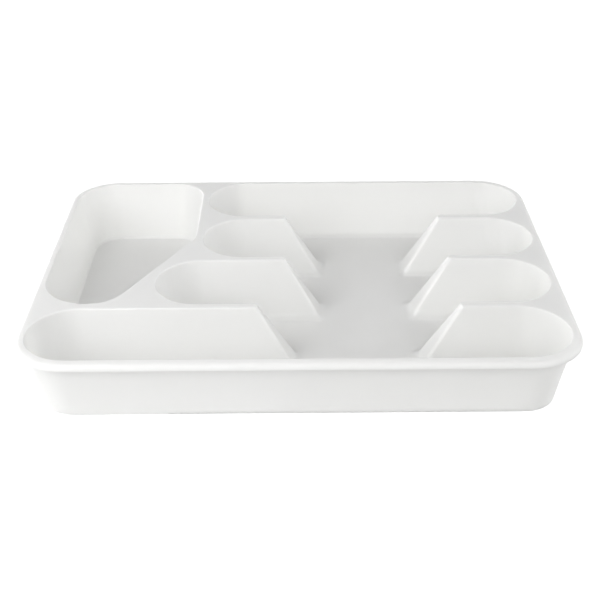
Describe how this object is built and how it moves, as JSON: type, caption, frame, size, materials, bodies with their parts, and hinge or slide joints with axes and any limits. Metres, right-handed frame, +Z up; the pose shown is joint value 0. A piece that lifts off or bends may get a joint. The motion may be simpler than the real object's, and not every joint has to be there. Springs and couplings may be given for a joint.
{
  "type": "cutlery tray",
  "caption": "Rectangular drawer tray with a turned-down rim, long round-ended rows for cutlery, a box pocket with a slanted corner, and a finger gap cut through the dividers.",
  "frame": {"origin": "middle of the tray's footprint, on the surface that it stands on", "axes": "+X along the rows to their right ends, +Y to the back, where the box pocket is, +Z up"},
  "size_m": [0.4, 0.3, 0.052],
  "materials": {
    "white_plastic": "smooth moulded plastic with a soft gloss"
  },
  "bodies": {
    "root": {"cutlery_tray": "white_plastic"}
  },
  "joints": []
}
